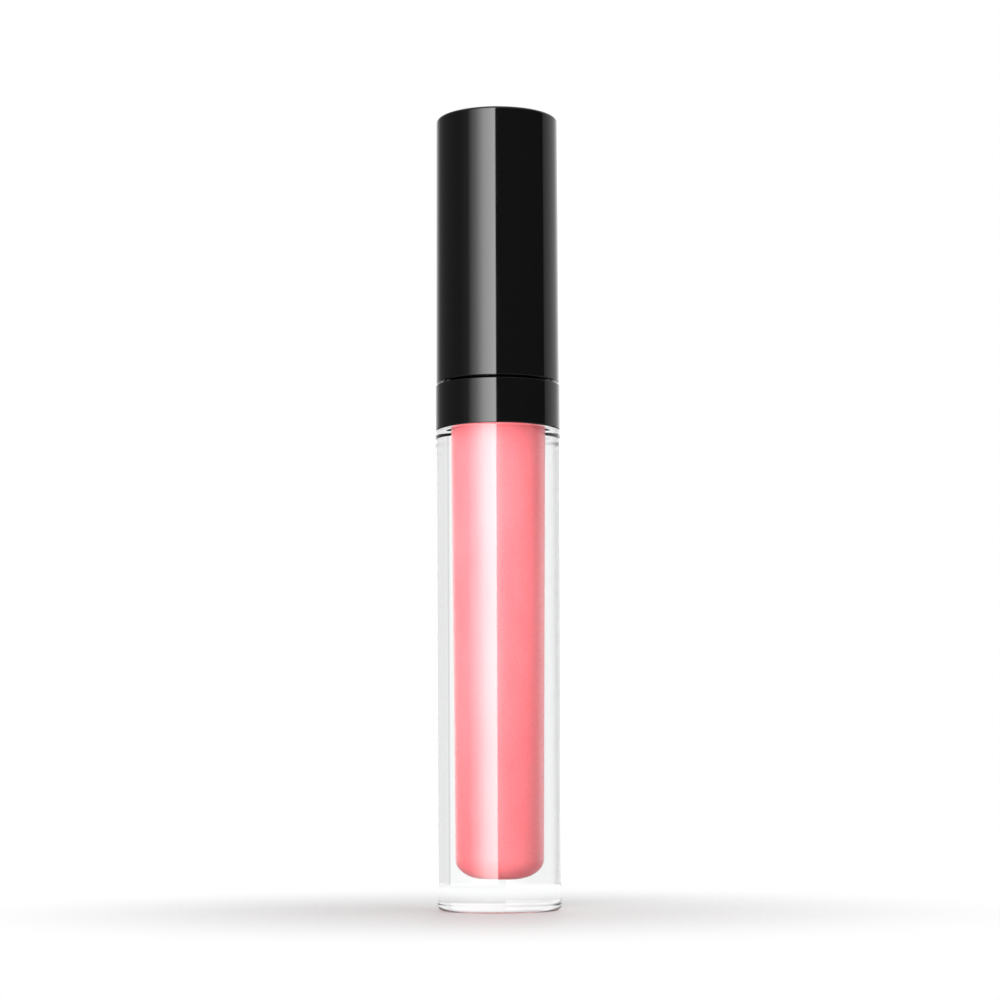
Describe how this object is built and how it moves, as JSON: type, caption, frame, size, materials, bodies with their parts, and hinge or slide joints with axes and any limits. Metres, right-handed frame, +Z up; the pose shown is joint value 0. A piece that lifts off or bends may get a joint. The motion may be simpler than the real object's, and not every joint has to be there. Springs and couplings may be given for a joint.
{
  "type": "lip gloss tube",
  "caption": "Slim round lip gloss tube: clear thick-walled bottle of pink gloss, black collar, and a glossy black screw cap that carries a doe-foot wand.",
  "frame": {"origin": "centre of the base, on the surface that the tube stands on", "axes": "+Z up along the tube's axis, from the base to the cap's top; +X is the way the applicator's slanted face looks"},
  "size_m": [0.018, 0.018, 0.114],
  "materials": {
    "clear_plastic": "polished clear, thick wall",
    "pink_gloss": "wet and opaque",
    "black_plastic": "polished",
    "black_liner": "satin moulded",
    "milky_plastic": "soft and milky",
    "foam": "fine closed-cell foam",
    "flock": "short fibres wetted with gloss"
  },
  "bodies": {
    "bottle_body": {"bottle": "clear_plastic", "gloss_fill": "pink_gloss", "collar": "black_plastic", "wiper": "milky_plastic"},
    "washer_body": {"sealing_washer": "foam"},
    "stem_body": {"wand_stem": "black_liner"},
    "cap_body": {"cap_shell": "black_plastic", "inner_cap": "black_liner", "applicator_core": "milky_plastic", "applicator_flock": "flock"}
  },
  "joints": [
    {"name": "wand_pull", "type": "slide", "parent": "bottle_body", "child": "washer_body", "axis": [0, 0, 1], "range_m": [0, 0.085]},
    {"name": "cap_rise", "type": "slide", "parent": "washer_body", "child": "stem_body", "axis": [0, 0, 1], "range_m": [0, 0.0025]},
    {"name": "cap_turn", "type": "hinge", "parent": "stem_body", "child": "cap_body", "pos_m": [0, 0, 0.08], "axis": [0, 0, 1], "range_deg": [0, 450]}
  ],
  "couplings": [
    {"joint": "cap_rise", "follows": "cap_turn", "m_per_rad": 0.00031831}
  ]
}
